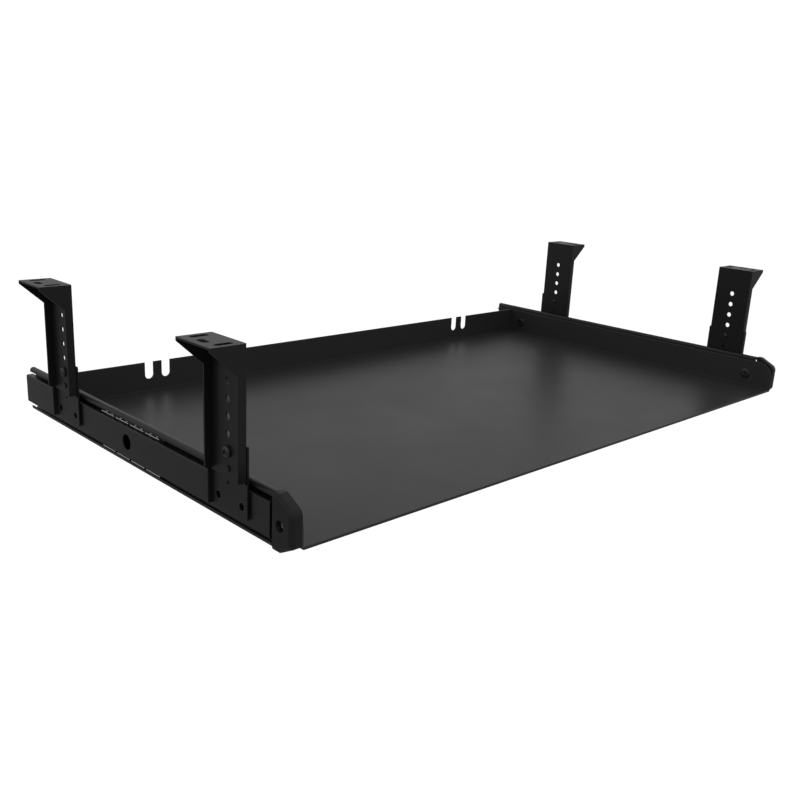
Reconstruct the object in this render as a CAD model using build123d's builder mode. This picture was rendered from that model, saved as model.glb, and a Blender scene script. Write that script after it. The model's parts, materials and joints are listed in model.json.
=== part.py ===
from build123d import *
import os

# Under-desk keyboard tray: a sheet steel tray on two ball bearing slides and four height brackets.
# X runs across the tray, +Y to the back and +Z up.  The origin is the centre of the four top
# plates, on the face that goes against the underside of the desk.

os.makedirs("parts", exist_ok=True)

# ---- driving dimensions, in millimetres ----
tray_width = 686.0          # outside, over the side flanges
tray_depth = 392.0
sheet = 1.2                 # tray steel
tray_height = 32.2          # from the underside of the hem to the top of the flanges
hem_depth = 10.0
bend_radius = 0.4           # inside radius of the tray's folds
flange_corner_radius = 18.0
hem_edge_radius = 0.95
rim_radius = 0.8            # along the inner edge of the flanges' rim, worn round and coated thick
notch_width = 9.5
notch_depth = 17.7
notch_pair_x = 228.5        # centre of each pair of cable notches
notch_spacing = 19.0

front_y = -197.5            # front edge of the tray
slide_mid_z = -117.5
slide_height = 42.0
slide_wall = 1.4

outer_depth = 6.5           # from the tray's flange to the lips
outer_front = 22.7          # distances from here on are measured from the tray's front edge
outer_rear = 417.0
tongue_front = 3.0
tongue_height = 25.0
lip_height = 4.0
lip_wall = 1.1
outer_bend = 3.0            # outside radius of the outer member's folds
inner_bend = 1.1            # outside radius of the inner member's folds

inner_height = 26.6
inner_front = 25.0
inner_length = 396.0
inner_depth = 6.2
inner_stand = 8.6           # from the tray's flange to the outer face of the inner member
centre_hole_radius = 6.7

ball_radius = 1.98
ball_offset_x = 3.63        # from the tray's flange to the ball centres
ball_offset_z = 15.55       # above and below the middle of the slide
ball_spacing = 10.0
tab_count = 4
tab_pitch = 24.6
tab_length = 21.5
tab_wall = 0.8
pocket_radius = 2.1
cage_web = 0.5
cage_gap = 0.25             # between the cage and the outer member's web
cage_tab_depth = 6.8        # from the tray's flange to the tab's edge
cage_centre = 221.0

bracket_centres = {"front": 69.0, "rear": 326.0}
hole_pitch = 12.7
hole_count = 4              # open holes above the screw
first_hole_z = -29.3
hole_radius = 2.6
upper_width = 42.0
upper_wall = 1.5
upper_depth = 7.5
upper_bend = 1.2            # outside radius of the upper bracket's folds
flange_bottom_z = -97.2
web_bottom_z = -99.2
gusset_z = -21.4
plate_reach = 28.0
plate_slot_length = 14.0
plate_slot_width = 5.0
plate_slot_spacing = 29.0
cross_slot_length = 11.0
cross_slot_width = 5.5
cross_slot_offset = 6.0     # outward of the two long slots

lower_wall = 1.5
lower_gap = 0.8             # from the slide to the plate, bridged by a boss round each rivet
boss_radius = 5.5
lower_plain_reach = 21.3    # from the bracket's centre to its plain edge
lower_flange_reach = 24.0   # from the bracket's centre to its flanged edge
lower_top_z = -71.6
lower_bottom_z = -125.6
lower_corner_radius = 0.8
lower_flange_depth = 5.0
peg_radius = 2.4            # a hollow peg pressed out of the plate, in the lowest hole
peg_dent_radius = 1.5
peg_stand = 1.0             # how far the peg stands through the upper bracket
peg_round = 0.6
rivet_spacing = 29.0
rivet_z = -117.1
rivet_outer_radius = 3.6
rivet_bore_radius = 3.0
rivet_flange_radius = 4.4
rivet_flange = 0.4
pilot_hole_radius = 1.2
pilot_hole_z = -104.5
pilot_hole_offset = 2.0     # from the bracket's centre towards the lower plate's plain edge

screw_radius = 2.5
screw_clearance = 0.05
head_radius = 4.4
head_height = 3.1
screw_tip = 2.2             # how far the height screw stands through the lower bracket
tray_head_radius = 5.6
tray_head_height = 1.5
head_crown = 0.55           # share of the head's height that is rounded
recess_length = 1.1         # length, width and depth of the cross recess, as shares of the
recess_width = 0.24         # head's radius and, for the depth, of its height
recess_depth = 0.6
tray_screw_front = 32.0
tray_screw_rear = 373.0

cap_depth = 9.4             # across the slide
cap_length = 21.2
cap_top = 21.5              # above the middle of the slide
cap_shoulder = 13.0         # where the top chamfer meets the front face
cap_chin = -13.0            # where the bottom chamfer meets the front face
cap_bottom = -20.9
cap_top_flat = 17.0
cap_bottom_flat = 15.0
cap_edge_radius = 4.0
cap_shoulder_radius = 7.0
cap_chin_radius = 5.0
cap_screw_y = 13.0
cap_head_radius = 3.5
cap_head_height = 2.4
cap_screw_radius = 1.75
cap_bore_radius = 4.3
cap_bore_depth = 5.0

tiny = 0.01                 # for telling whether two places are the same

# ---- worked out from them ----
half_width = tray_width / 2
back_y = front_y + tray_depth
hem_z = slide_mid_z - 15.65
floor_under_z = hem_z + sheet
floor_z = floor_under_z + sheet
flange_top_z = hem_z + tray_height
inner_face_x = half_width + inner_stand
plate_face_x = inner_face_x + lower_gap
lower_face_x = plate_face_x + lower_wall
upper_face_x = lower_face_x + upper_wall
screw_z = first_hole_z - hole_count * hole_pitch
peg_z = screw_z - hole_pitch
tray_screw_ys = [front_y + tray_screw_front, front_y + tray_screw_rear]


def y_plane(y):
    """A plane facing -Y at y, with its x along +X and its y along +Z."""
    return Plane(origin=(0, y, 0), x_dir=(1, 0, 0), z_dir=(0, -1, 0))


def x_plane(x, z=0.0):
    """A plane facing +X, with its x along +Y and its y along +Z."""
    return Plane(origin=(x, 0, z), x_dir=(0, 1, 0), z_dir=(1, 0, 0))


def save(piece, label):
    """Names a finished piece and writes it."""
    piece.label = label
    export_step(piece, f"parts/{label}.step")


def save_pair(piece, label):
    """Writes a right-hand piece and its mirror image."""
    with BuildPart() as mirrored:
        mirror(piece, about=Plane.YZ)
    save(piece, f"{label}_right")
    save(mirrored.part, f"{label}_left")


def turned(piece):
    """The same piece half a turn round the object's upright axis."""
    with BuildPart() as other:
        add(piece, rotation=(0, 0, 180))
    return other.part


def save_group(pieces, label):
    """Writes separate right-hand solids and their mirror images as one node."""
    both = list(pieces) + [mirror(piece, about=Plane.YZ) for piece in pieces]
    save(Compound(children=both), label)


# ---- tray: floor, two sides and back folded from one sheet, with a hem along the front ----
with BuildPart() as inside:
    with Locations((0, front_y - 1, floor_z)):
        Box(
            tray_width - 2 * sheet,
            tray_depth - sheet + 1,
            tray_height,
            align=(Align.CENTER, Align.MIN, Align.MIN),
        )
    floor_edges = inside.faces().sort_by(Axis.Z)[0].edges()
    fillet(floor_edges.sort_by(Axis.Y)[1:], bend_radius)


def on_side_rim(edge):
    """Whether an edge is the inner edge of a side flange's rim, along its top or round its corner."""
    middle = edge.center()
    inside_flange = abs(abs(middle.X) - (half_width - sheet)) < tiny
    along_top = middle.Z > flange_top_z - tiny
    round_corner = middle.Y < front_y + flange_corner_radius
    return inside_flange and (along_top or round_corner)


def on_back_rim(edge):
    """Whether an edge is the inner edge of the back flange's rim, on its top between the notches."""
    middle = edge.center()
    return abs(middle.Y - (back_y - sheet)) < tiny and middle.Z > flange_top_z - tiny


with BuildPart() as tray:
    with Locations((0, front_y, floor_under_z)):
        Box(
            tray_width,
            tray_depth,
            flange_top_z - floor_under_z,
            align=(Align.CENTER, Align.MIN, Align.MIN),
        )
    under_edges = tray.faces().sort_by(Axis.Z)[0].edges()
    fillet(under_edges.sort_by(Axis.Y)[1:], bend_radius + sheet)
    add(inside.part, mode=Mode.SUBTRACT)
    notch_floor_z = flange_top_z - notch_depth + notch_width / 2
    with BuildSketch(y_plane(back_y - 2 * sheet)):
        for side in (-1, 1):
            for step in (-0.5, 0.5):
                with Locations((side * notch_pair_x + step * notch_spacing, notch_floor_z)):
                    Circle(notch_width / 2)
                    Rectangle(notch_width, notch_depth, align=(Align.CENTER, Align.MIN))
    extrude(amount=-3 * sheet, mode=Mode.SUBTRACT)
    with Locations((0, front_y, hem_z)):
        Box(
            tray_width - 2 * (bend_radius + sheet),
            hem_depth,
            sheet,
            align=(Align.CENTER, Align.MIN, Align.MIN),
        )
    fillet(
        tray.edges().filter_by(Axis.X).group_by(Axis.Y)[0].group_by(Axis.Z)[-1],
        flange_corner_radius,
    )
    fillet(
        tray.edges().filter_by(Axis.X).group_by(Axis.Y)[0].group_by(Axis.Z)[0],
        hem_edge_radius,
    )
    fillet(tray.edges().filter_by(on_side_rim) + tray.edges().filter_by(on_back_rim), rim_radius)
    with BuildSketch(x_plane(-half_width, slide_mid_z)):
        with Locations(*[(y, 0) for y in tray_screw_ys]):
            Circle(screw_radius + screw_clearance)
    extrude(amount=tray_width, mode=Mode.SUBTRACT)
save(tray.part, "tray")

# ---- outer slide member: a C with its mouth outward and lips that keep the balls in ----
with BuildPart() as outer_member:
    lip_x = half_width + outer_depth
    with BuildSketch(y_plane(front_y + outer_front)) as outer_section:
        with Locations((half_width, slide_mid_z)):
            Rectangle(outer_depth, slide_height, align=(Align.MIN, Align.CENTER))
        fillet(outer_section.vertices(), outer_bend)
        with Locations(((2 * half_width + slide_wall + outer_depth - lip_wall) / 2, slide_mid_z)):
            RectangleRounded(
                outer_depth - slide_wall - lip_wall,
                slide_height - 2 * slide_wall,
                outer_bend - slide_wall,
                mode=Mode.SUBTRACT,
            )
        with Locations((lip_x - lip_wall, slide_mid_z)):
            Rectangle(
                lip_wall,
                slide_height - 2 * lip_height,
                align=(Align.MIN, Align.CENTER),
                mode=Mode.SUBTRACT,
            )
    extrude(amount=-(outer_rear - outer_front))
    with BuildSketch(x_plane(half_width, slide_mid_z)):
        with Locations((front_y + tongue_front, 0)):
            Rectangle(
                outer_front - tongue_front + 1, tongue_height, align=(Align.MIN, Align.CENTER)
            )
    extrude(amount=slide_wall)
    with BuildSketch(x_plane(half_width, slide_mid_z)):
        with Locations(*[(y, 0) for y in tray_screw_ys]):
            Circle(screw_radius + screw_clearance)
        with Locations((front_y + cap_screw_y, 0)):
            Circle(cap_screw_radius + screw_clearance)
    extrude(amount=slide_wall, mode=Mode.SUBTRACT)
save_pair(outer_member.part, "slide_outer_member")

# ---- inner slide member: fixed to the brackets, flanges inward, one large hole at its middle ----
with BuildPart() as inner_member:
    with BuildSketch(y_plane(front_y + inner_front)) as inner_section:
        with Locations((inner_face_x, slide_mid_z)):
            Rectangle(inner_depth, inner_height, align=(Align.MAX, Align.CENTER))
        fillet(inner_section.vertices().group_by(Axis.X)[-1], inner_bend)
        with Locations((inner_face_x - slide_wall, slide_mid_z)):
            Rectangle(
                inner_depth,
                inner_height - 2 * slide_wall,
                align=(Align.MAX, Align.CENTER),
                mode=Mode.SUBTRACT,
            )
    extrude(amount=-inner_length)
    with BuildSketch(x_plane(inner_face_x, slide_mid_z)):
        with Locations((front_y + inner_front + inner_length / 2, 0)):
            Circle(centre_hole_radius)
    extrude(amount=-slide_wall, mode=Mode.SUBTRACT)
    with BuildSketch(x_plane(inner_face_x, rivet_z)):
        for centre in bracket_centres.values():
            with Locations((front_y + centre, 0)):
                with GridLocations(rivet_spacing, 1, 2, 1):
                    Circle(rivet_outer_radius)
    extrude(amount=-slide_wall, mode=Mode.SUBTRACT)
save_pair(inner_member.part, "slide_inner_member")

# ---- ball cage: a strip behind the inner member, with tabs above and below that hold the balls ----
cage_x = half_width + slide_wall + cage_gap
ball_x = half_width + ball_offset_x
tab_ys = [
    front_y + cage_centre + (index - (tab_count - 1) / 2) * tab_pitch for index in range(tab_count)
]
ball_places = [
    (ball_x, tab_y + step * ball_spacing / 2, slide_mid_z + level * ball_offset_z)
    for level in (-1, 1)
    for tab_y in tab_ys
    for step in (-1, 1)
]
with BuildPart() as cage:
    with Locations((cage_x, front_y + cage_centre, slide_mid_z)):
        Box(
            cage_web,
            tab_pitch * (tab_count - 1) + tab_length,
            2 * ball_offset_z + tab_wall,
            align=(Align.MIN, Align.CENTER, Align.CENTER),
        )
    for level in (-1, 1):
        for tab_y in tab_ys:
            with Locations((cage_x, tab_y, slide_mid_z + level * ball_offset_z)):
                Box(
                    half_width + cage_tab_depth - cage_x,
                    tab_length,
                    tab_wall,
                    align=(Align.MIN, Align.CENTER, Align.CENTER),
                )
    with Locations(*ball_places):
        Sphere(pocket_radius, mode=Mode.SUBTRACT)
save_pair(cage.part, "ball_cage")

ball_solids = []
for place in ball_places:
    with BuildPart() as ball:
        with Locations(place):
            Sphere(ball_radius)
    ball_solids.append(ball.part)
balls_right = Compound(children=ball_solids)
balls_left = Compound(children=[mirror(solid, about=Plane.YZ) for solid in ball_solids])
save(balls_right, "bearing_balls_right")
save(balls_left, "bearing_balls_left")


# ---- upper bracket: a channel open outward, with a row of height holes and a gusseted top plate ----
def make_upper_bracket(centre_y):
    """A right-hand upper bracket centred at centre_y."""
    half = upper_width / 2
    plate_end_x = lower_face_x + plate_reach
    with BuildPart() as bracket:
        with Locations((lower_face_x, centre_y, web_bottom_z)):
            Box(
                upper_wall, upper_width, -web_bottom_z, align=(Align.MIN, Align.CENTER, Align.MIN)
            )
        with Locations((lower_face_x, centre_y, 0)):
            Box(
                plate_reach, upper_width, upper_wall, align=(Align.MIN, Align.CENTER, Align.MAX)
            )
        for flange_y in (centre_y - half, centre_y + half - upper_wall):
            with BuildSketch(y_plane(flange_y)):
                with BuildLine():
                    Polyline(
                        (lower_face_x, flange_bottom_z),
                        (lower_face_x + upper_depth, flange_bottom_z),
                        (lower_face_x + upper_depth, gusset_z),
                        (plate_end_x, -2 * upper_wall),
                        (plate_end_x, 0),
                        (lower_face_x, 0),
                        close=True,
                    )
                make_face()
            extrude(amount=-upper_wall)
        slot_x = lower_face_x + plate_reach / 2
        with BuildSketch(Plane.XY):
            with Locations((slot_x, centre_y)):
                with GridLocations(1, plate_slot_spacing, 1, 2):
                    SlotOverall(plate_slot_length, plate_slot_width)
            with Locations((slot_x + cross_slot_offset, centre_y)):
                SlotOverall(cross_slot_length, cross_slot_width, rotation=90)
        extrude(amount=-upper_wall, mode=Mode.SUBTRACT)
        with BuildSketch(x_plane(lower_face_x)):
            for index in range(hole_count + 2):
                with Locations((centre_y, first_hole_z - index * hole_pitch)):
                    Circle(hole_radius)
        extrude(amount=upper_wall, mode=Mode.SUBTRACT)
        upright_edges = bracket.edges().filter_by(Axis.Z).group_by(Axis.X)[0]
        fillet(upright_edges.filter_by(lambda edge: edge.length > upper_width), upper_bend)
    return bracket.part


# ---- lower bracket: a plate on the inner slide member, with a short flange along one edge ----
def make_lower_bracket(centre_y):
    """A right-hand lower bracket centred at centre_y, with its flange to the front."""
    height = lower_top_z - lower_bottom_z
    with BuildPart() as bracket:
        with Locations((plate_face_x, centre_y - lower_flange_reach, lower_bottom_z)):
            Box(
                lower_wall,
                lower_flange_reach + lower_plain_reach,
                height,
                align=(Align.MIN, Align.MIN, Align.MIN),
            )
            Box(
                lower_flange_depth,
                lower_wall,
                height,
                align=(Align.MIN, Align.MIN, Align.MIN),
            )
        corners = bracket.edges().filter_by(Axis.X).group_by(Axis.Y)
        fillet(corners[0] + corners[-1], lower_corner_radius)
        with BuildSketch(x_plane(inner_face_x, rivet_z)):
            with Locations((centre_y, 0)):
                with GridLocations(rivet_spacing, 1, 2, 1):
                    Circle(boss_radius)
        extrude(amount=lower_gap)
        with BuildSketch(x_plane(plate_face_x, peg_z)):
            with Locations((centre_y, 0)):
                Circle(peg_radius)
        extrude(amount=lower_wall + upper_wall + peg_stand)
        fillet(bracket.faces().sort_by(Axis.X)[-1].edges(), peg_round)
        with BuildSketch(x_plane(plate_face_x, peg_z)):
            with Locations((centre_y, 0)):
                Circle(peg_dent_radius)
        extrude(amount=upper_wall + peg_stand, mode=Mode.SUBTRACT)
        with BuildSketch(x_plane(inner_face_x)):
            with Locations((centre_y, screw_z)):
                Circle(screw_radius + screw_clearance)
            with Locations((centre_y - pilot_hole_offset, pilot_hole_z)):
                Circle(pilot_hole_radius)
            with Locations((centre_y, rivet_z)):
                with GridLocations(rivet_spacing, 1, 2, 1):
                    Circle(rivet_outer_radius)
        extrude(amount=lower_gap + lower_wall, mode=Mode.SUBTRACT)
    return bracket.part


for place, centre in bracket_centres.items():
    save_pair(make_upper_bracket(front_y + centre), f"upper_bracket_{place}")

# All four lower brackets are the same part: the left ones are the right ones half a turn round.
for place, opposite in (("front", "rear"), ("rear", "front")):
    lower_bracket = make_lower_bracket(front_y + bracket_centres[place])
    save(lower_bracket, f"lower_bracket_{place}_right")
    save(turned(lower_bracket), f"lower_bracket_{opposite}_left")


# ---- fasteners ----
def make_pan_screw(y, z, seat_x, tip_x, radius, top_radius, top_height):
    """A cross-recessed pan head screw along X: its head stands from seat_x, away from tip_x."""
    outward = 1 if seat_x > tip_x else -1
    with BuildPart() as screw:
        with BuildSketch(x_plane(seat_x, z)):
            with Locations((y, 0)):
                Circle(top_radius)
        extrude(amount=outward * top_height)
        rim = screw.edges().group_by(Axis.X)[-1 if outward > 0 else 0]
        fillet(rim, top_height * head_crown)
        with BuildSketch(x_plane(seat_x, z)):
            with Locations((y, 0)):
                Circle(radius)
        extrude(amount=-outward * abs(seat_x - tip_x))
        with BuildSketch(x_plane(seat_x + outward * top_height, z)):
            with Locations((y, 0)):
                Rectangle(top_radius * recess_length, top_radius * recess_width)
                Rectangle(top_radius * recess_width, top_radius * recess_length)
        extrude(amount=-outward * top_height * recess_depth, mode=Mode.SUBTRACT)
    return screw.part


height_screws = [
    make_pan_screw(
        front_y + centre,
        screw_z,
        upper_face_x,
        plate_face_x - screw_tip,
        screw_radius,
        head_radius,
        head_height,
    )
    for centre in bracket_centres.values()
]
save_group(height_screws, "height_screws")

tray_screws = [
    make_pan_screw(
        y,
        slide_mid_z,
        half_width - sheet,
        half_width + slide_wall,
        screw_radius,
        tray_head_radius,
        tray_head_height,
    )
    for y in tray_screw_ys
]
save_group(tray_screws, "tray_screws")

rivets = []
for centre in bracket_centres.values():
    for step in (-0.5, 0.5):
        with BuildPart() as rivet:
            rivet_y = front_y + centre + step * rivet_spacing
            with BuildSketch(x_plane(inner_face_x - slide_wall - rivet_flange, rivet_z)):
                with Locations((rivet_y, 0)):
                    Circle(rivet_flange_radius)
            extrude(amount=rivet_flange)
            with BuildSketch(x_plane(inner_face_x - slide_wall, rivet_z)):
                with Locations((rivet_y, 0)):
                    Circle(rivet_outer_radius)
            extrude(amount=slide_wall + lower_gap + lower_wall)
            with BuildSketch(x_plane(inner_face_x - slide_wall - rivet_flange, rivet_z)):
                with Locations((rivet_y, 0)):
                    Circle(rivet_bore_radius)
            extrude(
                amount=slide_wall + lower_gap + lower_wall + rivet_flange, mode=Mode.SUBTRACT
            )
        rivets.append(rivet.part)
save_group(rivets, "bracket_rivets")

# ---- end cap: a moulded block over the front of the outer member, cut away at its corners ----
with BuildPart() as cap:
    with BuildSketch(x_plane(half_width, slide_mid_z)):
        with BuildLine():
            Polyline(
                (front_y + cap_length, cap_bottom),
                (front_y + cap_length, cap_top),
                (front_y + cap_top_flat, cap_top),
                (front_y, cap_shoulder),
                (front_y, cap_chin),
                (front_y + cap_bottom_flat, cap_bottom),
                close=True,
            )
        make_face()
    extrude(amount=cap_depth)
    front_edges = cap.edges().filter_by(Axis.X).group_by(Axis.Y)[0]
    fillet(front_edges.sort_by(Axis.Z)[-1], cap_shoulder_radius)
    front_edges = cap.edges().filter_by(Axis.X).group_by(Axis.Y)[0]
    fillet(front_edges.sort_by(Axis.Z)[0], cap_chin_radius)
    outer_edges = cap.faces().sort_by(Axis.X)[-1].edges()
    fillet(outer_edges.sort_by(Axis.Y)[:-1], cap_edge_radius)
    with BuildSketch(x_plane(half_width, slide_mid_z)):
        with Locations((front_y + tongue_front, 0)):
            Rectangle(outer_front, tongue_height, align=(Align.MIN, Align.CENTER))
    extrude(amount=slide_wall, mode=Mode.SUBTRACT)
    with BuildSketch(x_plane(half_width + cap_depth, slide_mid_z)):
        with Locations((front_y + cap_screw_y, 0)):
            Circle(cap_bore_radius)
    extrude(amount=-cap_bore_depth, mode=Mode.SUBTRACT)
    with BuildSketch(x_plane(half_width, slide_mid_z)):
        with Locations((front_y + cap_screw_y, 0)):
            Circle(cap_screw_radius + screw_clearance)
    extrude(amount=cap_depth, mode=Mode.SUBTRACT)
save_pair(cap.part, "end_cap")

cap_screw = make_pan_screw(
    front_y + cap_screw_y,
    slide_mid_z,
    half_width + cap_depth - cap_bore_depth,
    half_width,
    cap_screw_radius,
    cap_head_radius,
    cap_head_height,
)
save_group([cap_screw], "cap_screws")
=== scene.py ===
"""Visual model of the under-desk keyboard tray: finishes, fasteners, studio and camera."""
import json
import math

import bmesh
import bpy
from mathutils import Matrix, Vector


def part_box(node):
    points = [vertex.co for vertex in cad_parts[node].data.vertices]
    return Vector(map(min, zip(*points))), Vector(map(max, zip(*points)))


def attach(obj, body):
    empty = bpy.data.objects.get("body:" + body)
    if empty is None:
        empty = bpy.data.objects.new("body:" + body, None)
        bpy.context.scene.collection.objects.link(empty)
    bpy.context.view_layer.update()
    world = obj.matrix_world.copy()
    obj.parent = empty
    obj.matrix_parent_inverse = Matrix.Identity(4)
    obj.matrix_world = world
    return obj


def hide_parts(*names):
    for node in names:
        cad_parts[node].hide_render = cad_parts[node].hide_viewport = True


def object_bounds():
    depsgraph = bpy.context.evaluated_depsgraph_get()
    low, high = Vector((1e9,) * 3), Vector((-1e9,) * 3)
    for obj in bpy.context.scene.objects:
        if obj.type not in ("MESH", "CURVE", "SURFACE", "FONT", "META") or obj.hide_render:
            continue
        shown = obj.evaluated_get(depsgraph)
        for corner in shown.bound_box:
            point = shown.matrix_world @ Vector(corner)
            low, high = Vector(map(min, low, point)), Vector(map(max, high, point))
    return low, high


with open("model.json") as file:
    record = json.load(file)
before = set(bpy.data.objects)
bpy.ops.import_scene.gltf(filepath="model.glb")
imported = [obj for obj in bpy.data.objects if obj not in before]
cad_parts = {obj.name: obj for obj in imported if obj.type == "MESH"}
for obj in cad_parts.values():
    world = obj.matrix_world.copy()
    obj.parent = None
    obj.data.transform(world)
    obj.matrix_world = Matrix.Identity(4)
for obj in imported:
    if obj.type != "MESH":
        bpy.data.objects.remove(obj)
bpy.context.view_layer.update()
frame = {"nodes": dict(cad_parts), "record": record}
scene = bpy.context.scene
MM = 0.001

# ---- camera: in front, to the left and a little above, in metres, radians and millimetres of lens ----
CAMERA_PLACE = Vector((-0.6882, -0.6350, 0.1360))
CAMERA_YAW = 0.7754
CAMERA_PITCH = 0.2835
CAMERA_ROLL = 0.0495
CAMERA_LENS = 41.21
CAMERA_SENSOR = 36.0
CAMERA_NEAR = 0.02
CAMERA_FAR = 60.0

# ---- studio ----
LIGHT_ABOVE = 0.60
LIGHT_BELOW = 0.27
HORIZON_SOFTNESS = 0.10
BACKDROP_WHITE = 1.05
WHITE = (1, 1, 1, 1)
FLOOR_SIZE = 12.0
FLOOR_GAP = 0.0005

# ---- materials ----
MASK_SAMPLES = 6
CORNER_OPENING = (0.72, 0.92)    # how open an inside corner is, and how open a flat face is
EDGE_TURN = (0.02, 0.35)         # how far the normal turns where the lighter edge colour starts and where it is full: edge wear, and on the powder coat also a painted highlight

# ---- screws, in millimetres or as shares of a size ----
SCREW_SEGMENTS = 48
HEAD_STEPS = 10
ROWS_PER_TURN = 8
THREAD_PITCH = 0.8
THREAD_DEPTH = 0.42
CROWN_SHARE = 0.6                # of the head's height, rounded
CROWN_FLAT = 0.30                # of the head's radius, level on top
RECESS_DEPTH = 0.72              # of the head's height
RECESS_LENGTH = 1.15             # of the head's radius, as is the width
RECESS_WIDTH = 0.26
RECESS_TAPER = 0.45              # the bottom's length over the top's
RECESS_NARROWING = 0.75          # the bottom's width over the top's
CUTTER_ABOVE = 0.5
SHARP_ANGLE = math.radians(35)
SPIN_STEP = 0.7                  # turns the recesses differently from screw to screw, in radians
SPIN_SIDE = 0.4
# head radius, head height, shank radius and length under the head
HEIGHT_SCREW = (4.4, 3.1, 2.5, 5.2)
TRAY_SCREW = (5.6, 1.5, 2.5, 2.6)
CAP_SCREW = (3.5, 2.4, 1.75, 4.4)


# ---------------------------------------------------------------- camera, light and floor
def make_camera():
    """The scene's camera, turned about its own axis by the roll."""
    data = bpy.data.cameras.new("camera")
    data.lens = CAMERA_LENS
    data.sensor_width = CAMERA_SENSOR
    data.clip_start = CAMERA_NEAR
    data.clip_end = CAMERA_FAR
    camera = bpy.data.objects.new("camera", data)
    scene.collection.objects.link(camera)
    forward = Vector(
        (
            math.sin(CAMERA_YAW) * math.cos(CAMERA_PITCH),
            math.cos(CAMERA_YAW) * math.cos(CAMERA_PITCH),
            -math.sin(CAMERA_PITCH),
        )
    )
    right = Vector((math.cos(CAMERA_YAW), -math.sin(CAMERA_YAW), 0.0))
    up = right.cross(forward)
    across = math.cos(CAMERA_ROLL) * right + math.sin(CAMERA_ROLL) * up
    above = -math.sin(CAMERA_ROLL) * right + math.cos(CAMERA_ROLL) * up
    turn = Matrix((across, above, -forward)).transposed().to_4x4()
    camera.matrix_world = Matrix.Translation(CAMERA_PLACE) @ turn
    scene.camera = camera


def make_world():
    """A white room: white to the eye, and as a light dimmer below the horizon than above it."""
    world = bpy.data.worlds.new("room")
    scene.world = world
    world.use_nodes = True
    nodes = world.node_tree.nodes
    links = world.node_tree.links
    nodes.clear()
    seen = nodes.new("ShaderNodeBackground")
    seen.inputs["Color"].default_value = WHITE
    seen.inputs["Strength"].default_value = BACKDROP_WHITE
    lit = nodes.new("ShaderNodeBackground")
    lit.inputs["Color"].default_value = WHITE
    direction = nodes.new("ShaderNodeTexCoord")
    split = nodes.new("ShaderNodeSeparateXYZ")
    links.new(direction.outputs["Generated"], split.inputs[0])
    rise = nodes.new("ShaderNodeMapRange")
    rise.interpolation_type = "SMOOTHSTEP"
    rise.inputs["From Min"].default_value = -HORIZON_SOFTNESS
    rise.inputs["From Max"].default_value = HORIZON_SOFTNESS
    rise.inputs["To Min"].default_value = LIGHT_BELOW
    rise.inputs["To Max"].default_value = LIGHT_ABOVE
    links.new(split.outputs["Z"], rise.inputs["Value"])
    links.new(rise.outputs["Result"], lit.inputs["Strength"])
    path = nodes.new("ShaderNodeLightPath")
    mix = nodes.new("ShaderNodeMixShader")
    out = nodes.new("ShaderNodeOutputWorld")
    links.new(path.outputs["Is Camera Ray"], mix.inputs[0])
    links.new(lit.outputs[0], mix.inputs[1])
    links.new(seen.outputs[0], mix.inputs[2])
    links.new(mix.outputs[0], out.inputs["Surface"])


def make_floor():
    """A plain white floor just under the object, clear when seen from below."""
    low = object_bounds()[0][2] - FLOOR_GAP
    mesh = bpy.data.meshes.new("floor")
    half = FLOOR_SIZE / 2
    corners = [(-half, -half, low), (half, -half, low), (half, half, low), (-half, half, low)]
    mesh.from_pydata(corners, [], [(0, 1, 2, 3)])
    floor = bpy.data.objects.new("floor", mesh)
    scene.collection.objects.link(floor)
    mat = bpy.data.materials.new("floor_white")
    mat.use_nodes = True
    nodes = mat.node_tree.nodes
    links = mat.node_tree.links
    nodes.clear()
    glow = nodes.new("ShaderNodeEmission")
    glow.inputs["Color"].default_value = WHITE
    glow.inputs["Strength"].default_value = BACKDROP_WHITE
    clear = nodes.new("ShaderNodeBsdfTransparent")
    side = nodes.new("ShaderNodeNewGeometry")
    mix = nodes.new("ShaderNodeMixShader")
    out = nodes.new("ShaderNodeOutputMaterial")
    links.new(side.outputs["Backfacing"], mix.inputs[0])
    links.new(glow.outputs[0], mix.inputs[1])
    links.new(clear.outputs[0], mix.inputs[2])
    links.new(mix.outputs[0], out.inputs["Surface"])
    mesh.materials.append(mat)
    floor.visible_diffuse = False
    floor.visible_glossy = False
    floor.visible_shadow = False


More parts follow.
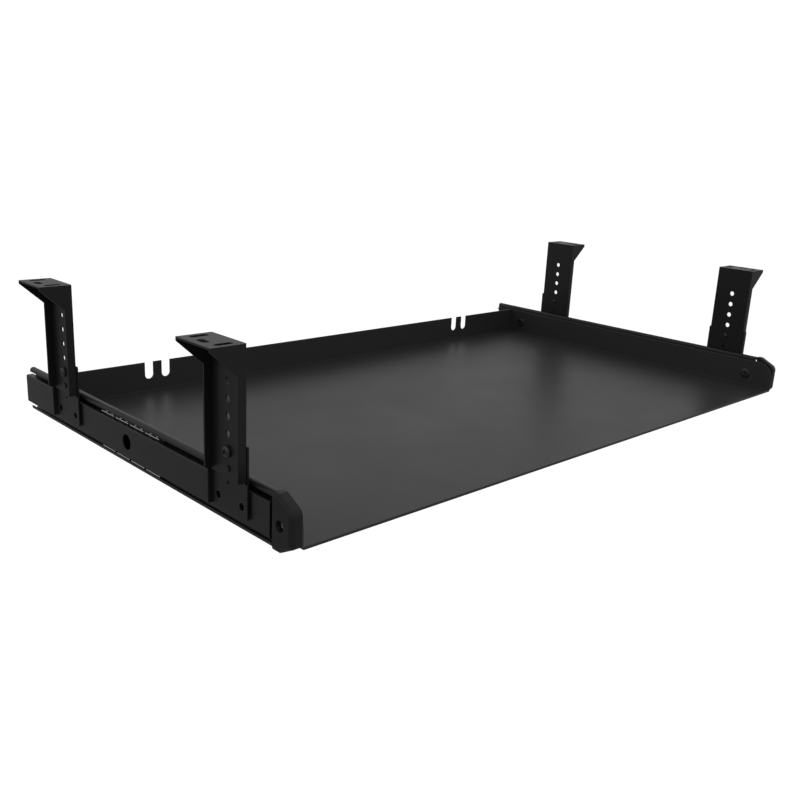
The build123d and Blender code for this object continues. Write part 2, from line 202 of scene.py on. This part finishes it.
# ---------------------------------------------------------------- materials
class Finish:
    """A principled material that is built up from layers of noise in object coordinates."""

    def __init__(self, name, metallic=0.0, ior=1.45):
        self.mat = bpy.data.materials.new(name)
        self.mat.use_nodes = True
        self.nodes = self.mat.node_tree.nodes
        self.links = self.mat.node_tree.links
        self.bsdf = self.nodes["Principled BSDF"]
        self.bsdf.inputs["Metallic"].default_value = metallic
        self.bsdf.inputs["IOR"].default_value = ior
        self.place = self.nodes.new("ShaderNodeTexCoord").outputs["Object"]
        self.normal = None

    def noise(self, scale, detail=2.0, stretch=(1.0, 1.0, 1.0)):
        """Noise with about scale cells to a metre, drawn out along an axis by a small stretch."""
        spread = self.nodes.new("ShaderNodeMapping")
        spread.inputs["Scale"].default_value = stretch
        self.links.new(self.place, spread.inputs["Vector"])
        texture = self.nodes.new("ShaderNodeTexNoise")
        texture.inputs["Scale"].default_value = scale
        texture.inputs["Detail"].default_value = detail
        self.links.new(spread.outputs[0], texture.inputs["Vector"])
        return texture.outputs["Fac"]

    def span(self, value, low, high, start=0.3, stop=0.7):
        """The value's start to stop, spread over low to high."""
        node = self.nodes.new("ShaderNodeMapRange")
        node.inputs["From Min"].default_value = start
        node.inputs["From Max"].default_value = stop
        node.inputs["To Min"].default_value = low
        node.inputs["To Max"].default_value = high
        self.links.new(value, node.inputs["Value"])
        return node.outputs["Result"]

    def blend(self, factor, first, second):
        """A colour between two, each a tuple or a node's output."""
        node = self.nodes.new("ShaderNodeMix")
        node.data_type = "RGBA"
        self.links.new(factor, node.inputs[0])
        for socket, colour in ((node.inputs[6], first), (node.inputs[7], second)):
            if isinstance(colour, tuple):
                socket.default_value = (*colour, 1)
            else:
                self.links.new(colour, socket)
        return node.outputs[2]

    def product(self, first, second):
        """One value times another."""
        node = self.nodes.new("ShaderNodeMath")
        node.operation = "MULTIPLY"
        self.links.new(first, node.inputs[0])
        self.links.new(second, node.inputs[1])
        return node.outputs[0]

    def outward(self, reach):
        """1 where nothing stands close in front of the face, and 0 in inside corners."""
        open_air = self.nodes.new("ShaderNodeAmbientOcclusion")
        open_air.samples = MASK_SAMPLES
        open_air.inputs["Distance"].default_value = reach
        return self.span(open_air.outputs["AO"], 0.0, 1.0, *CORNER_OPENING)

    def edges(self, radius):
        """Near 1 along sharp edges and 0 on flat faces."""
        start, stop = EDGE_TURN
        soft = self.nodes.new("ShaderNodeBevel")
        soft.samples = MASK_SAMPLES
        soft.inputs["Radius"].default_value = radius
        flat = self.nodes.new("ShaderNodeNewGeometry")
        dot = self.nodes.new("ShaderNodeVectorMath")
        dot.operation = "DOT_PRODUCT"
        self.links.new(soft.outputs[0], dot.inputs[0])
        self.links.new(flat.outputs["Normal"], dot.inputs[1])
        return self.span(dot.outputs["Value"], 1.0, 0.0, 1.0 - stop, 1.0 - start)

    def bump(self, height, strength, distance):
        """Adds a layer of relief over those before it."""
        node = self.nodes.new("ShaderNodeBump")
        node.inputs["Strength"].default_value = strength
        node.inputs["Distance"].default_value = distance
        self.links.new(height, node.inputs["Height"])
        if self.normal:
            self.links.new(self.normal, node.inputs["Normal"])
        self.normal = node.outputs["Normal"]

    def done(self, colour, rough):
        """The material, with its colour, roughness and relief joined to the shader."""
        self.links.new(colour, self.bsdf.inputs["Base Color"])
        self.links.new(rough, self.bsdf.inputs["Roughness"])
        if self.normal:
            self.links.new(self.normal, self.bsdf.inputs["Normal"])
        return self.mat


def powder_coat(name, dark, light, edge_colour, rough, ior):
    """Baked powder: fine orange peel, a slow cloud in its gloss, and edges painted lighter, partly as
    wear of the thinner coat there and partly as a painted highlight.
    """
    finish = Finish(name, ior=ior)
    cloud = finish.noise(14.0, 3.0)
    grain = finish.noise(2400.0, 2.0)
    colour = finish.blend(finish.span(grain, 0.0, 1.0), dark, light)
    patches = finish.noise(90.0, 4.0)
    # painted highlight: the lighter edge colour is partly wear and partly the light that the edges
    # catch; it is kept off inside corners and broken into patches
    wear_and_highlight = finish.product(finish.edges(0.7 * MM), finish.outward(3.0 * MM))
    wear_and_highlight = finish.product(wear_and_highlight, finish.span(patches, 0.4, 1.0))
    colour = finish.blend(wear_and_highlight, colour, edge_colour)
    gloss = finish.span(cloud, rough - 0.025, rough + 0.025)
    finish.bump(grain, 0.35, 0.012 * MM)
    finish.bump(finish.noise(620.0, 1.0), 0.25, 0.02 * MM)
    return finish.done(colour, gloss)


def rolled_coat(name, dark, light, edge_colour, rough, ior):
    """Thin electro-coat over cold rolled strip: faint lines that run along the slide."""
    finish = Finish(name, ior=ior)
    lines = finish.noise(1500.0, 2.0, (1.0, 0.012, 1.0))
    cloud = finish.noise(22.0, 3.0)
    colour = finish.blend(finish.span(cloud, 0.0, 1.0), dark, light)
    colour = finish.blend(finish.edges(0.4 * MM), colour, edge_colour)
    finish.bump(lines, 0.2, 0.006 * MM)
    finish.bump(finish.noise(900.0, 2.0), 0.15, 0.008 * MM)
    return finish.done(colour, finish.span(lines, rough - 0.03, rough + 0.04))


def moulded_plastic(name, dark, light, edge_colour, rough, ior):
    """Spark-eroded mould texture: fine even pits, a little polished where hands touch the edges."""
    finish = Finish(name, ior=ior)
    pits = finish.nodes.new("ShaderNodeTexVoronoi")
    pits.inputs["Scale"].default_value = 1900.0
    finish.links.new(finish.place, pits.inputs["Vector"])
    cloud = finish.noise(60.0, 3.0)
    colour = finish.blend(finish.span(cloud, 0.0, 1.0), dark, light)
    colour = finish.blend(finish.edges(0.8 * MM), colour, edge_colour)
    finish.bump(pits.outputs["Distance"], 0.35, 0.02 * MM)
    finish.bump(finish.noise(3200.0, 1.0), 0.3, 0.01 * MM)
    return finish.done(colour, finish.span(cloud, rough + 0.03, rough - 0.05))


def zinc_plate(name):
    """Bright zinc: brushed grain along Y, faint clouds of blue and straw passivation."""
    finish = Finish(name, metallic=1.0)
    grain = finish.noise(2600.0, 3.0, (1.0, 0.02, 1.0))
    cloud = finish.noise(160.0, 4.0)
    colour = finish.blend(finish.span(cloud, 0.0, 1.0), (0.78, 0.80, 0.84), (0.84, 0.83, 0.78))
    colour = finish.blend(finish.edges(0.25 * MM), colour, (0.93, 0.93, 0.94))
    finish.bump(grain, 0.2, 0.005 * MM)
    return finish.done(colour, finish.span(grain, 0.17, 0.32))


def polished_steel(name):
    """Hardened ball steel with fine turned scratches and a trace of grease."""
    finish = Finish(name, metallic=1.0)
    grease = finish.noise(700.0, 3.0)
    colour = finish.blend(finish.span(grease, 0.0, 1.0), (0.88, 0.88, 0.90), (0.78, 0.78, 0.76))
    finish.bump(finish.noise(5200.0, 1.0), 0.1, 0.002 * MM)
    return finish.done(colour, finish.span(grease, 0.06, 0.18))


def black_oxide(name):
    """Blackened steel: deep black, with bare metal showing grey on the corners."""
    finish = Finish(name, ior=1.6)
    cloud = finish.noise(420.0, 4.0)
    colour = finish.blend(finish.span(cloud, 0.0, 1.0), (0.005, 0.005, 0.0055), (0.011, 0.0105, 0.0105))
    colour = finish.blend(finish.edges(0.2 * MM), colour, (0.06, 0.06, 0.06))
    finish.bump(finish.noise(2800.0, 2.0), 0.2, 0.008 * MM)
    return finish.done(colour, finish.span(cloud, 0.28, 0.42))


# the third colour of each coat is its lighter edge colour: edge wear and a painted highlight along the
# edges
tray_coat = powder_coat(
    "tray_coat", (0.026, 0.026, 0.027), (0.036, 0.036, 0.037), (0.17, 0.17, 0.175), 0.38, 1.35
)
bracket_coat = powder_coat(
    "bracket_coat", (0.006, 0.006, 0.0063), (0.010, 0.010, 0.0104), (0.020, 0.020, 0.0205), 0.40, 1.40
)
slide_coat = rolled_coat(
    "slide_coat", (0.006, 0.006, 0.0065), (0.010, 0.010, 0.0105), (0.022, 0.022, 0.023), 0.38, 1.42
)
cap_plastic = moulded_plastic(
    "cap_plastic", (0.007, 0.007, 0.0072), (0.011, 0.011, 0.0113), (0.016, 0.016, 0.0163), 0.50, 1.38
)
finish_of_slot = {
    "tray_coat": tray_coat,
    "bracket_coat": bracket_coat,
    "slide_coat": slide_coat,
    "cap_plastic": cap_plastic,
    "black_fastener": black_oxide("black_fastener"),
    "zinc_plate": zinc_plate("zinc_plate"),
    "ball_steel": polished_steel("ball_steel"),
}


def dress_cad_nodes():
    """Gives every carried-over node the finish of its own material slot."""
    slot_of = {part["node"]: part["material_slot"] for part in frame["record"]["subparts"]}
    for name, obj in frame["nodes"].items():
        mat = finish_of_slot[slot_of[name]]
        if not obj.material_slots:
            obj.data.materials.append(mat)
        for slot in obj.material_slots:
            slot.link = "OBJECT"
            slot.material = mat


# ---------------------------------------------------------------- screws
def screw_radius_at(height, angle, shank):
    """The thread's outline: a ridge that climbs once round in each pitch."""
    turns = height / THREAD_PITCH + angle / (2 * math.pi)
    ridge = 1.0 - abs(2.0 * (turns - math.floor(turns)) - 1.0)
    return shank - THREAD_DEPTH * (1.0 - ridge)


def screw_body(head, head_height, shank, length):
    """A pan head on a threaded shank, its seat at z = 0 and its head upwards, in millimetres."""
    rows = []
    crown = CROWN_SHARE * head_height
    for step in range(HEAD_STEPS + 1):
        turn = 0.5 * math.pi * step / HEAD_STEPS
        height = head_height - crown * (1.0 - math.cos(turn))
        rows.append((height, head * (CROWN_FLAT + (1.0 - CROWN_FLAT) * math.sin(turn)), False))
    rows.append((0.0, head, False))
    rows.append((0.0, shank, False))
    steps = max(2, round(length / THREAD_PITCH * ROWS_PER_TURN))
    for step in range(1, steps):
        rows.append((-length * step / steps, shank, True))
    rows.append((-length, shank - THREAD_DEPTH, False))
    mesh = bmesh.new()
    rings = []
    for height, radius, threaded in rows:
        ring = []
        for index in range(SCREW_SEGMENTS):
            angle = 2 * math.pi * index / SCREW_SEGMENTS
            reach = screw_radius_at(height, angle, shank) if threaded else radius
            ring.append(mesh.verts.new((reach * math.cos(angle), reach * math.sin(angle), height)))
        rings.append(ring)
    for upper, lower in zip(rings, rings[1:]):
        for index in range(SCREW_SEGMENTS):
            after = (index + 1) % SCREW_SEGMENTS
            mesh.faces.new((upper[index], lower[index], lower[after], upper[after]))
    mesh.faces.new(rings[0])
    mesh.faces.new(list(reversed(rings[-1])))
    bmesh.ops.recalc_face_normals(mesh, faces=mesh.faces)
    return mesh


def recess_cutter(head, head_height):
    """A cross of two blades that narrow towards the bottom."""
    mesh = bmesh.new()
    top = head_height + CUTTER_ABOVE
    bottom = head_height * (1.0 - RECESS_DEPTH)
    for turn in (0.0, 0.5 * math.pi):
        blade = bmesh.ops.create_cube(mesh, size=1.0)["verts"]
        for vert in blade:
            upper = vert.co.z > 0
            vert.co.x *= RECESS_LENGTH * head * (1.0 if upper else RECESS_TAPER)
            vert.co.y *= RECESS_WIDTH * head * (1.0 if upper else RECESS_NARROWING)
            vert.co.z = top if upper else bottom
        bmesh.ops.rotate(mesh, verts=blade, cent=(0, 0, 0), matrix=Matrix.Rotation(turn, 3, "Z"))
    return mesh


def object_from(mesh, name):
    """A new object of the working mesh, which is freed."""
    data = bpy.data.meshes.new(name)
    mesh.to_mesh(data)
    mesh.free()
    obj = bpy.data.objects.new(name, data)
    scene.collection.objects.link(obj)
    return obj


def cut_away(target, cutter):
    """Takes the cutter out of the target's mesh for good."""
    cut = target.modifiers.new("cut", "BOOLEAN")
    cut.operation = "DIFFERENCE"
    cut.solver = "EXACT"
    cut.use_self = True
    cut.object = cutter
    bpy.context.view_layer.update()
    graph = bpy.context.evaluated_depsgraph_get()
    finished = bpy.data.meshes.new_from_object(target.evaluated_get(graph))
    target.modifiers.clear()
    target.data = finished
    bpy.data.objects.remove(cutter)


def make_screw_mesh(head, head_height, shank, length):
    """One finished screw, in millimetres."""
    screw = object_from(screw_body(head, head_height, shank, length), "one_screw")
    cut_away(screw, object_from(recess_cutter(head, head_height), "one_recess"))
    data = screw.data
    bpy.data.objects.remove(screw)
    return data


def make_screws(name, node, body, slot, size, places):
    """All the screws of one node: size is head, head height, shank and length in millimetres."""
    pattern = make_screw_mesh(*size)
    mesh = bmesh.new()
    for x, y, z, outward, spin in places:
        start = len(mesh.verts)
        mesh.from_mesh(pattern)
        added = mesh.verts[:][start:]
        lay = Matrix.Rotation(outward * 0.5 * math.pi, 4, "Y") @ Matrix.Rotation(spin, 4, "Z")
        bmesh.ops.transform(mesh, matrix=Matrix.Scale(MM, 4), verts=added)
        bmesh.ops.transform(mesh, matrix=Matrix.Translation((x, y, z)) @ lay, verts=added)
    piece = object_from(mesh, name)
    piece.data.materials.append(finish_of_slot[slot])
    for face in piece.data.polygons:
        face.use_smooth = True
    piece.data.set_sharp_from_angle(angle=SHARP_ANGLE)
    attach(piece, body)
    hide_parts(node)


def both_sides(ys, z, seat_x, facing):
    """Places for screws on both sides: facing is 1 for heads outward and -1 for heads inward."""
    places = []
    for side in (-1, 1):
        for index, y in enumerate(ys):
            spin = SPIN_STEP * index + SPIN_SIDE * side
            places.append((side * seat_x, y, z, side * facing, spin))
    return places


def make_all_screws():
    """Height screws, tray screws and cap screws, placed from the nodes that they stand for."""
    low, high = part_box("height_screws")
    seat = high[0] - HEIGHT_SCREW[1] * MM
    ys = (low[1] + HEIGHT_SCREW[0] * MM, high[1] - HEIGHT_SCREW[0] * MM)
    places = both_sides(ys, (low[2] + high[2]) / 2, seat, 1)
    name = "height_screws_cross_head"
    make_screws(name, "height_screws", "bracket_frame", "black_fastener", HEIGHT_SCREW, places)
    low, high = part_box("tray_screws")
    seat = high[0] - TRAY_SCREW[3] * MM
    ys = (low[1] + TRAY_SCREW[0] * MM, high[1] - TRAY_SCREW[0] * MM)
    places = both_sides(ys, (low[2] + high[2]) / 2, seat, -1)
    name = "tray_screws_cross_head"
    make_screws(name, "tray_screws", "tray", "black_fastener", TRAY_SCREW, places)
    low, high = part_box("cap_screws")
    seat = high[0] - CAP_SCREW[1] * MM
    places = both_sides([(low[1] + high[1]) / 2], (low[2] + high[2]) / 2, seat, 1)
    name = "cap_screws_cross_head"
    make_screws(name, "cap_screws", "tray", "zinc_plate", CAP_SCREW, places)


dress_cad_nodes()
make_all_screws()
make_camera()
make_world()
make_floor()
scene.view_settings.view_transform = "Standard"
